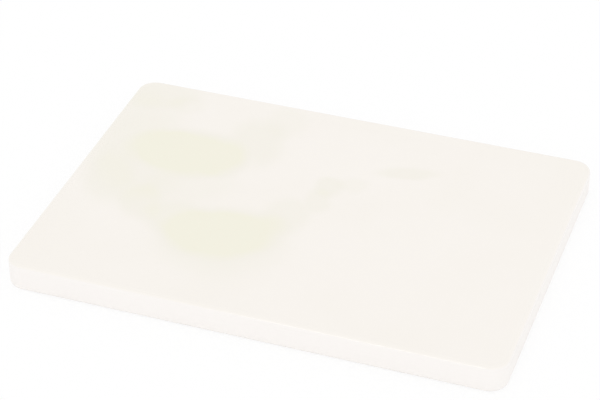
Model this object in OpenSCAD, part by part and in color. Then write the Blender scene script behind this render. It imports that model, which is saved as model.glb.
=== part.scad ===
// Plain cutting board: one slab of cream polyethylene, the same on both faces.
// The origin is the centre of the underside. +X runs along the length and +Z points up.

/* [Board] */
// Length of the board, along X
board_l = 350; // [200:5:600]
// Width of the board, along Y
board_w = 250; // [150:5:400]
// Thickness of the board, along Z
board_t = 20; // [10:1:50]

/* [Rounding] */
// Radius of the four upright corners, seen from above
corner_r = 13; // [9:0.5:40]
// Radius of the rim that runs round each face
rim_r = 2.5; // [0.5:0.25:4]

/* [Colour] */
// Colour of the plastic
board_colour = "#F8F4EE"; // ["#F8F4EE":Cream, "#FFFFFF":White]

/* [Hidden] */
$fn = 96;

// A length to the nearest micrometre, so that walls which meet share the same numbers
function whole_um(length) = round(1000 * length) / 1000;

half_l = whole_um(board_l / 2);
half_w = whole_um(board_w / 2);
thickness = whole_um(board_t);
corner = whole_um(corner_r);
rim = whole_um(rim_r);
// Heights of the centres of the rim arcs
rim_heights = [rim, thickness - rim];

// Cross-section of a bar that reaches this far to each side, with its rims rounded
module bar_section(reach) {
    translate([-reach, rim])
        square([2 * reach, thickness - 2 * rim]);
    translate([rim - reach, 0])
        square([2 * (reach - rim), thickness]);
    for (side = [-1, 1], height = rim_heights)
        translate([side * (reach - rim), height])
            circle(rim);
}

// Bar along X that reaches this far to each side, and this far forwards and back
module bar(side_reach, end_reach) {
    rotate([90, 0, 90])
        linear_extrude(height = 2 * end_reach, center = true)
            bar_section(side_reach);
}

// Half of a corner's cross-section, from its upright axis outwards
module corner_section() {
    translate([0, rim])
        square([corner, thickness - 2 * rim]);
    square([corner - rim, thickness]);
    for (height = rim_heights)
        translate([corner - rim, height])
            circle(rim);
}

// Slab with rounded corners and rims
module board() {
    color(board_colour)
        union() {
            bar(half_w, half_l - corner);
            rotate([0, 0, 90])
                bar(half_l, half_w - corner);
            for (x = [corner - half_l, half_l - corner], y = [corner - half_w, half_w - corner])
                translate([x, y, 0])
                    rotate_extrude()
                        corner_section();
        }
}

board();
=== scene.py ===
"""A plain cream polyethylene cutting board, lying on a white studio floor."""
import math

import bmesh
import bpy
from mathutils import Matrix, Vector, noise


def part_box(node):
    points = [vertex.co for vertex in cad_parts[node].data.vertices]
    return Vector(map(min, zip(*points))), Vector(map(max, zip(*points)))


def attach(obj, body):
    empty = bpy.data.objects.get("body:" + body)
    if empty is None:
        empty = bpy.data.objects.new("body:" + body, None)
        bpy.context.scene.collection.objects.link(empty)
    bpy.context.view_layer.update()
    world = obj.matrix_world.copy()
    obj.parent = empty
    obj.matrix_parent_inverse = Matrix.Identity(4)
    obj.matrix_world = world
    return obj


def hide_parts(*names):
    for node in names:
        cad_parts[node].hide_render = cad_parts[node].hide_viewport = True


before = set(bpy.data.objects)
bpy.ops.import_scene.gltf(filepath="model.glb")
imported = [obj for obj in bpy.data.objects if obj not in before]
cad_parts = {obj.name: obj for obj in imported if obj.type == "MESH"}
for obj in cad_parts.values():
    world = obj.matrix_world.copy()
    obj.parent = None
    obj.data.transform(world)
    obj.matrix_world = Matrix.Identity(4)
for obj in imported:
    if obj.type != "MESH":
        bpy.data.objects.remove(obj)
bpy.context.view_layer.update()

# Lengths in this script are in metres, and the angles given to it in degrees.
# The board stands on the origin, so the highest corner of its box is half its length, half its width and
# its thickness away from there.
HALF_LENGTH, HALF_WIDTH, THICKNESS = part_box("board")[1]
CORNER_RADIUS = 0.013
RIM_RADIUS = 0.0025
QUARTER_TURN = math.radians(90)

# The mesh: its steps round a corner, round a rim and up a wall, the size of the cells in the middle of a
# face, how far in from the wall the rings round them lie, and how close together points become one
CORNER_STEPS = 20
RIM_STEPS = 8
WALL_STEPS = 4
FACE_CELL = 0.006
FACE_INSETS = (0.0036, 0.0052, 0.0075, 0.0100)
SAME_POINT = 1e-6

# The pressed faces dip a little below flat, and noise of this width says how much. Its layers are given by
# how fast the finer ones weaken, how much finer each is than the one before, and how many there are.
FACE_DIP = 0.00012
FACE_DIP_WIDTH = 0.075
FACE_DIP_LAYERS = (0.6, 2.0, 3)

# The hand-run rims vary in radius by this share
RIM_CHANGE = 0.05
RIM_CHANGE_WIDTH = 0.020

# Linear colours of the plastic. Faces and walls each vary between a cream and a paler one. The tone of the
# faces follows noise of this width, with this many finer layers.
FACE_CREAM = (0.933, 0.895, 0.840, 1)
FACE_PALE = (0.942, 0.904, 0.855, 1)
WALL_CREAM = (0.942, 0.909, 0.882, 1)
WALL_PALE = (0.948, 0.918, 0.892, 1)
TONE_WIDTH = 0.060
TONE_DETAIL = 6.0

# Painted shade on the cutting face: soft patches of its colour painted darker and yellower, as shade.
# Where the painted shade is at half strength the plastic has the first colour, and at full strength the
# yellow one. It fades in between these shares of the thickness, so the underside has none.
PAINTED_SHADE_SOFT = (0.906, 0.875, 0.801, 1)
PAINTED_SHADE_YELLOW = (0.894, 0.872, 0.746, 1)
PAINTED_SHADE_HALF = 0.5
PAINTED_SHADE_FADE = (0.5, 0.9)

# The spots of painted shade lie along lines that lean by this angle from +X. A spot is even out to this
# share of its size and fades out from there, and noise moves its outline about by up to this much. Each
# spot is (centre along those lines, centre across them, half width, reach forwards, reach back, strength).
PAINTED_SHADE_LEAN = 19.4
PAINTED_SHADE_EDGE = 0.4
PAINTED_SHADE_WARP = 0.005
PAINTED_SHADE_WARP_WIDTH = 0.030
PAINTED_SHADE_SPOTS = (
    (-0.124, 0.072, 0.048, 0.080, 0.110, 0.42),
    (-0.142, 0.044, 0.024, 0.044, 0.048, 0.26),
    (-0.110, 0.153, 0.042, 0.026, 0.028, 0.40),
    (-0.088, 0.139, 0.020, 0.018, 0.018, 0.26),
    (-0.108, 0.086, 0.032, 0.036, 0.026, 0.55),
    (-0.082, 0.073, 0.043, 0.037, 0.038, 1.10),
    (-0.060, 0.058, 0.020, 0.022, 0.030, 0.52),
    (-0.084, 0.032, 0.044, 0.032, 0.024, 0.28),
    (-0.117, 0.014, 0.020, 0.030, 0.026, 0.42),
    (-0.094, -0.006, 0.028, 0.028, 0.026, 0.55),
    (-0.058, -0.028, 0.060, 0.062, 0.042, 0.47),
    (-0.060, -0.023, 0.052, 0.039, 0.034, 0.80),
    (-0.036, 0.092, 0.028, 0.050, 0.034, 0.47),
    (-0.014, 0.116, 0.020, 0.032, 0.026, 0.25),
    (-0.014, 0.000, 0.022, 0.034, 0.022, 0.40),
    (0.008, 0.014, 0.013, 0.022, 0.018, 0.38),
    (0.017, 0.032, 0.014, 0.020, 0.014, 0.45),
    (0.034, 0.032, 0.014, 0.016, 0.012, 0.24),
    (0.072, 0.046, 0.030, 0.010, 0.010, 0.42),
)
# A lower limit for a part of a vector that needs none
NO_LIMIT = -100.0

# The finish. The faces have a fine pressed grain and a roughness that varies between two values, and the
# rims are smoother. The cutter whitened the walls a little, and left long lines round them and upright
# ripples. Those two have a size along X, Y and Z.
ROUGH_LOW = 0.42
ROUGH_HIGH = 0.50
GLOSS_WIDTH = 0.018
GLOSS_DETAIL = 3.0
GRAIN_WIDTH = 0.0009
GRAIN_DEPTH = 0.000035
CUTTER_LINE = (0.060, 0.060, 0.0006)
CUTTER_DEPTH = 0.00002
RIPPLE = (0.0018, 0.0018, 0.050)
RIPPLE_DEPTH = 0.00002
REFRACTION = 1.53

# The share of wall grows from 0 on the faces to 1 on the walls. The cutter's marks and the walls' colour
# begin at this share. A rim is smoothest where its share of wall times its share of face is above this
# product, which is 0.25 half way round it.
MILLED_FROM = 0.5
RIM_PRODUCT = 0.15
RIM_ROUGH = 0.10

# Noise runs from 0 to 1, round this middle, and nearly all of it lies between the low and the high value
NOISE_LOW = 0.3
NOISE_MIDDLE = 0.5
NOISE_HIGH = 0.7

# The studio: a white floor and white air all round, and two weak lamps, a large one on the right and a
# small one in front that glints along the rims. Each lamp is (level, size, azimuth, elevation).
WHITE = (1.0, 1.0, 1.0, 1)
FLOOR_HALF = 6.0
# The share of the floor's white, as it is seen, that doesn't depend on the light
FLOOR_SEEN_WHITE = 0.8
# The level at which the white air lights the board
FILL_LEVEL = 0.97
LAMPS = {
    "side": (0.10, 50, 60, 30),
    "glint": (0.10, 12, -13, 25),
}

# The camera looks at this point from this far away, and is turned about its line of sight by the roll
AIM = (-0.01427, 0.02446, 0.0100)
DISTANCE = 1.50446
AZIMUTH = 19.436
ELEVATION = 34.940
ROLL = -0.146
LENS = 126.99


def corner_centres():
    """The upright axes of the four corners, anticlockwise from the one at the back right."""
    x, y = HALF_LENGTH - CORNER_RADIUS, HALF_WIDTH - CORNER_RADIUS
    return [Vector((x, y, 0)), Vector((-x, y, 0)), Vector((-x, -y, 0)), Vector((x, -y, 0))]


def cells(length):
    """How many face cells fit into a length."""
    return round(length / FACE_CELL)


def outline():
    """The columns of the walls, anticlockwise, as (point on the inner rectangle, outward direction)."""
    columns = []
    centres = corner_centres()
    for i, (centre, following) in enumerate(zip(centres, centres[1:] + centres[:1])):
        for step in range(CORNER_STEPS + 1):
            angle = QUARTER_TURN * (i + step / CORNER_STEPS)
            columns.append((centre, Vector((math.cos(angle), math.sin(angle), 0))))
        outward = columns[-1][1]
        count = cells((following - centre).length)
        columns += [(centre.lerp(following, step / count), outward) for step in range(1, count)]
    return columns


def half_section(rim):
    """The outer part of one face and its rim, from the inside out, as (inset, height, share of wall)."""
    points = [(CORNER_RADIUS, 0, 0)]
    points += [(inset, 0, 0) for inset in reversed(FACE_INSETS)]
    for step in range(RIM_STEPS + 1):
        angle = QUARTER_TURN * step / RIM_STEPS
        points.append((rim * (1 - math.sin(angle)), rim * (1 - math.cos(angle)), math.sin(angle) ** 2))
    return points


def section(under_rim, over_rim):
    """The whole cross-section of one column, from the underside over the wall to the cutting face."""
    under = half_section(under_rim)
    over = [(inset, THICKNESS - height, share) for inset, height, share in reversed(half_section(over_rim))]
    start, end = under[-1][1], over[0][1]
    wall = [(0, start + (end - start) * step / WALL_STEPS, 1) for step in range(1, WALL_STEPS)]
    return under + wall + over


def rim_radius(point):
    """The radius of a rim beside this point."""
    return RIM_RADIUS * (1 + RIM_CHANGE * noise.noise(point / RIM_CHANGE_WIDTH))


def add_surround(bm):
    """The walls, the rims and the outer part of both faces."""
    wall_share = bm.verts.layers.float["wall"]
    columns = []
    for inner, outward in outline():
        foot = inner + outward * CORNER_RADIUS
        top = foot + Vector((0, 0, THICKNESS))
        column = []
        for inset, height, share in section(rim_radius(foot), rim_radius(top)):
            vert = bm.verts.new(foot - outward * inset + Vector((0, 0, height)))
            vert[wall_share] = share
            column.append(vert)
        columns.append(column)
    for left, right in zip(columns, columns[1:] + columns[:1]):
        for i in range(len(left) - 1):
            bm.faces.new((left[i], right[i], right[i + 1], left[i + 1]))


def add_middle(bm, height, winding):
    """The inner rectangle of one face, a grid whose edge meets the surround. Winding -1 turns it over."""
    inner = corner_centres()[0]
    across, along = cells(2 * inner.x), cells(2 * inner.y)
    grid = []
    for row in range(along + 1):
        y = inner.y * (2 * row / along - 1)
        xs = [inner.x * (2 * column / across - 1) for column in range(across + 1)]
        grid.append([bm.verts.new((x, y, height)) for x in xs])
    for near, far in zip(grid, grid[1:]):
        for i in range(across):
            bm.faces.new((near[i], near[i + 1], far[i + 1], far[i])[::winding])


def clamp(value):
    """The value, held between 0 and 1."""
    return min(1, max(0, value))


def eased(share):
    """A share that starts and ends more gently."""
    return share * share * (3 - 2 * share)


def dip(point):
    """How far a face lies inside flat at this point: nothing at the rims, and more or less between them."""
    edge = min(HALF_LENGTH - abs(point.x), HALF_WIDTH - abs(point.y)) - RIM_RADIUS * (1 + RIM_CHANGE)
    swell = noise.fractal(point / FACE_DIP_WIDTH, *FACE_DIP_LAYERS)
    return FACE_DIP * eased(clamp(edge / CORNER_RADIUS)) * clamp((1 + swell) / 2)


def board_mesh():
    """The board as one closed mesh."""
    bm = bmesh.new()
    bm.verts.layers.float.new("wall")
    add_surround(bm)
    add_middle(bm, 0, -1)
    add_middle(bm, THICKNESS, 1)
    bmesh.ops.remove_doubles(bm, verts=bm.verts, dist=SAME_POINT)
    for vert in bm.verts:
        if vert.co.z > THICKNESS - SAME_POINT:
            vert.co.z -= dip(vert.co)
        elif vert.co.z < SAME_POINT:
            vert.co.z += dip(vert.co)
    mesh = bpy.data.meshes.new("board_slab")
    bm.to_mesh(mesh)
    bm.free()
    mesh.shade_smooth()
    return mesh


class Nodes:
    """Short ways to add and join the nodes of one tree."""

    def __init__(self, tree):
        """Starts with the tree empty."""
        self.tree = tree
        tree.nodes.clear()

    def add(self, kind, settings=None, **inputs):
        """A node of that kind, with its settings and its inputs, whose names have _ for a space."""
        node = self.tree.nodes.new(kind)
        for name, value in (settings or {}).items():
            setattr(node, name, value)
        self.feed([node.inputs[name.replace("_", " ")] for name in inputs], inputs.values())
        return node

    def feed(self, sockets, values):
        """Sets each input to its value, or joins it to an output that is given instead."""
        for socket, value in zip(sockets, values):
            if isinstance(value, bpy.types.NodeSocket):
                self.tree.links.new(value, socket)
            else:
                socket.default_value = value

    def math(self, operation, *values):
        """The number that this operation gives."""
        node = self.add("ShaderNodeMath", {"operation": operation})
        self.feed(node.inputs, values)
        return node.outputs[0]

    def vector_math(self, operation, *values):
        """The vector that this operation gives, or its length."""
        node = self.add("ShaderNodeVectorMath", {"operation": operation})
        self.feed(node.inputs, values)
        return node.outputs["Value" if operation == "LENGTH" else "Vector"]

    def ramp(self, value, start, end, out_start=0.0, out_end=1.0, kind="SMOOTHSTEP"):
        """A value that goes from out_start to out_end as the given one goes from start to end."""
        node = self.add(
            "ShaderNodeMapRange",
            {"interpolation_type": kind},
            Value=value,
            From_Min=start,
            From_Max=end,
            To_Min=out_start,
            To_Max=out_end,
        )
        return node.outputs[0]

    def blend(self, share, first, second):
        """The colour that is this share of the way from the first to the second."""
        node = self.add("ShaderNodeMix", {"data_type": "RGBA"}, Factor=share)
        self.feed([socket for socket in node.inputs if socket.type == "RGBA"], (first, second))
        return next(socket for socket in node.outputs if socket.type == "RGBA")

    def noise(self, place, size, detail=2.0):
        """Smooth noise from 0 to 1, with features of this size, which is one length or three."""
        if isinstance(size, float):
            size = (size, size, size)
        scaled = self.vector_math("DIVIDE", place, size)
        return self.add("ShaderNodeTexNoise", Vector=scaled, Scale=1.0, Detail=detail)

    def spread(self, fac, low=0.0, high=1.0):
        """Noise spread out to run from low to high."""
        return self.ramp(fac, NOISE_LOW, NOISE_HIGH, low, high)

    def bump(self, height, depth, strength, **under):
        """A normal for a surface that rises by depth as height goes from 0 to 1, on the Normal under it."""
        node = self.add("ShaderNodeBump", Height=height, Distance=depth, Strength=strength, **under)
        return node.outputs["Normal"]


def painted_shade_lines(n, place):
    """Where this place lies along and across the lines of the painted shade, moved by noise. Z is minus Y.
    """
    push = n.noise(place, PAINTED_SHADE_WARP_WIDTH).outputs["Color"]
    push = n.vector_math("SUBTRACT", push, (NOISE_MIDDLE, NOISE_MIDDLE, NOISE_MIDDLE))
    push = n.vector_math("MULTIPLY", push, (2 * PAINTED_SHADE_WARP, 2 * PAINTED_SHADE_WARP, 0))
    warped = n.vector_math("ADD", place, push)
    back_turn = -math.radians(PAINTED_SHADE_LEAN)
    turned = n.add("ShaderNodeVectorRotate", {"rotation_type": "Z_AXIS"}, Vector=warped, Angle=back_turn)
    parts = n.add("ShaderNodeSeparateXYZ", Vector=turned.outputs[0]).outputs
    forwards = n.math("MULTIPLY", parts["Y"], -1.0)
    return n.add("ShaderNodeCombineXYZ", X=parts["X"], Y=parts["Y"], Z=forwards).outputs[0]


def painted_shade_spot(n, lines, spot):
    """What one spot adds to the painted shade. Y counts only behind its centre, and Z only in front of it.
    """
    along, across, half_width, reach_forwards, reach_back, strength = spot
    offset = n.vector_math("SUBTRACT", lines, (along, across, -across))
    share = n.vector_math("DIVIDE", offset, (half_width, reach_back, reach_forwards))
    share = n.vector_math("MAXIMUM", share, (NO_LIMIT, 0, 0))
    return n.ramp(n.vector_math("LENGTH", share), PAINTED_SHADE_EDGE, 1.0, strength, 0.0)


def painted_shade(n, place):
    """How strong the painted shade is at this place, where 0 is none and 1 is full."""
    lines = painted_shade_lines(n, place)
    total = 0.0
    for spot in PAINTED_SHADE_SPOTS:
        total = n.math("ADD", total, painted_shade_spot(n, lines, spot))
    height = n.add("ShaderNodeSeparateXYZ", Vector=place).outputs["Z"]
    start, end = (share * THICKNESS for share in PAINTED_SHADE_FADE)
    return n.math("MULTIPLY", total, n.ramp(height, start, end))


def face_colour(n, place):
    """Cream that is paler here and there, and painted darker and yellower in patches of shade."""
    tone = n.noise(place, TONE_WIDTH, TONE_DETAIL).outputs["Fac"]
    plain = n.blend(n.spread(tone), FACE_CREAM, FACE_PALE)
    # Painted shade: the cream is darkened, then yellowed, where the shade patches lie
    shade_share = painted_shade(n, place)
    shaded = n.blend(n.ramp(shade_share, 0, PAINTED_SHADE_HALF, kind="LINEAR"), plain, PAINTED_SHADE_SOFT)
    return n.blend(n.ramp(shade_share, PAINTED_SHADE_HALF, 1, kind="LINEAR"), shaded, PAINTED_SHADE_YELLOW)


def polyethylene():
    """Satin cream polyethylene, with finely grained faces, smooth rims and milled walls."""
    material = bpy.data.materials.new("polyethylene")
    material.use_nodes = True
    n = Nodes(material.node_tree)
    place = n.add("ShaderNodeTexCoord").outputs["Object"]
    wall = n.add("ShaderNodeAttribute", {"attribute_name": "wall"}).outputs["Fac"]
    gloss = n.noise(place, GLOSS_WIDTH, GLOSS_DETAIL).outputs["Fac"]
    grain = n.noise(place, GRAIN_WIDTH).outputs["Fac"]
    lines = n.noise(place, CUTTER_LINE).outputs["Fac"]
    ripple = n.noise(place, RIPPLE).outputs["Fac"]
    face = n.math("SUBTRACT", 1.0, wall)
    rim = n.math("MULTIPLY", wall, face)
    milled = n.ramp(wall, MILLED_FROM, 1.0)
    normal = n.bump(grain, GRAIN_DEPTH, face)
    normal = n.bump(lines, CUTTER_DEPTH, milled, Normal=normal)
    normal = n.bump(ripple, RIPPLE_DEPTH, milled, Normal=normal)
    wall_colour = n.blend(n.spread(lines), WALL_CREAM, WALL_PALE)
    rough = n.spread(gloss, ROUGH_LOW, ROUGH_HIGH)
    shader = n.add(
        "ShaderNodeBsdfPrincipled",
        Base_Color=n.blend(milled, face_colour(n, place), wall_colour),
        Roughness=n.ramp(rim, 0, RIM_PRODUCT, rough, RIM_ROUGH),
        Normal=normal,
        IOR=REFRACTION,
    )
    n.add("ShaderNodeOutputMaterial", Surface=shader.outputs[0])
    return material


def build_board():
    """The one visible piece, which stands for the CAD slab."""
    board = bpy.data.objects.new("board_slab", board_mesh())
    bpy.context.scene.collection.objects.link(board)
    board.data.materials.append(polyethylene())
    board.modifiers.new("flat_faces", "WEIGHTED_NORMAL")
    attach(board, "root")
    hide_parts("board")


def direction(azimuth, elevation):
    """Unit vector towards a place at these angles, where azimuth 0 is in front, along -Y."""
    a, e = math.radians(azimuth), math.radians(elevation)
    return Vector((math.sin(a) * math.cos(e), -math.cos(a) * math.cos(e), math.sin(e)))


def background_rays(n):
    """1 for rays that show the background, directly or mirrored, and 0 for those that light the board."""
    ray = n.add("ShaderNodeLightPath").outputs
    mirrored = n.math("MAXIMUM", ray["Is Glossy Ray"], ray["Is Transmission Ray"])
    return n.math("MAXIMUM", ray["Is Camera Ray"], mirrored)


def build_floor():
    """A white floor. The board's shadow on it is faint, because part of the white is the floor's own."""
    mesh = bpy.data.meshes.new("floor")
    s = FLOOR_HALF
    mesh.from_pydata([(-s, -s, 0), (s, -s, 0), (s, s, 0), (-s, s, 0)], [], [(0, 1, 2, 3)])
    floor = bpy.data.objects.new("floor", mesh)
    bpy.context.scene.collection.objects.link(floor)
    material = bpy.data.materials.new("floor_white")
    material.use_nodes = True
    n = Nodes(material.node_tree)
    lit = n.add("ShaderNodeBsdfDiffuse", Color=WHITE).outputs[0]
    own = n.add("ShaderNodeEmission", Color=WHITE, Strength=1.0).outputs[0]
    share = n.math("MULTIPLY", background_rays(n), FLOOR_SEEN_WHITE)
    mix = n.add("ShaderNodeMixShader")
    n.feed(mix.inputs, (share, lit, own))
    n.add("ShaderNodeOutputMaterial", Surface=mix.outputs[0])
    mesh.materials.append(material)


def build_world():
    """Even white air, which cameras and reflections see as plain white."""
    world = bpy.data.worlds.new("studio")
    world.use_nodes = True
    bpy.context.scene.world = world
    n = Nodes(world.node_tree)
    level = n.ramp(background_rays(n), 0, 1, FILL_LEVEL, 1.0, "LINEAR")
    air = n.add("ShaderNodeBackground", Color=WHITE, Strength=level)
    n.add("ShaderNodeOutputWorld", Surface=air.outputs[0])


def build_lamps():
    """The two lamps, which are suns, as wide in the sky as their size in degrees."""
    for name, (level, size, azimuth, elevation) in LAMPS.items():
        light = bpy.data.lights.new(name, "SUN")
        light.energy = level
        light.angle = math.radians(size)
        lamp = bpy.data.objects.new(name, light)
        lamp.rotation_euler = direction(azimuth, elevation).to_track_quat("Z", "Y").to_euler()
        bpy.context.scene.collection.objects.link(lamp)


def build_camera():
    """The camera, where the photograph was taken from."""
    camera = bpy.data.cameras.new("camera")
    camera.lens = LENS
    back = direction(AZIMUTH, ELEVATION)
    right = Vector((0, 0, 1)).cross(back).normalized()
    turn = Matrix.Rotation(math.radians(ROLL), 3, back)
    axes = Matrix((turn @ right, turn @ back.cross(right), back)).transposed()
    viewer = bpy.data.objects.new("camera", camera)
    viewer.matrix_world = Matrix.Translation(Vector(AIM) + back * DISTANCE) @ axes.to_4x4()
    bpy.context.scene.collection.objects.link(viewer)
    bpy.context.scene.camera = viewer


build_board()
build_floor()
build_world()
build_lamps()
build_camera()
bpy.context.scene.view_settings.view_transform = "Standard"
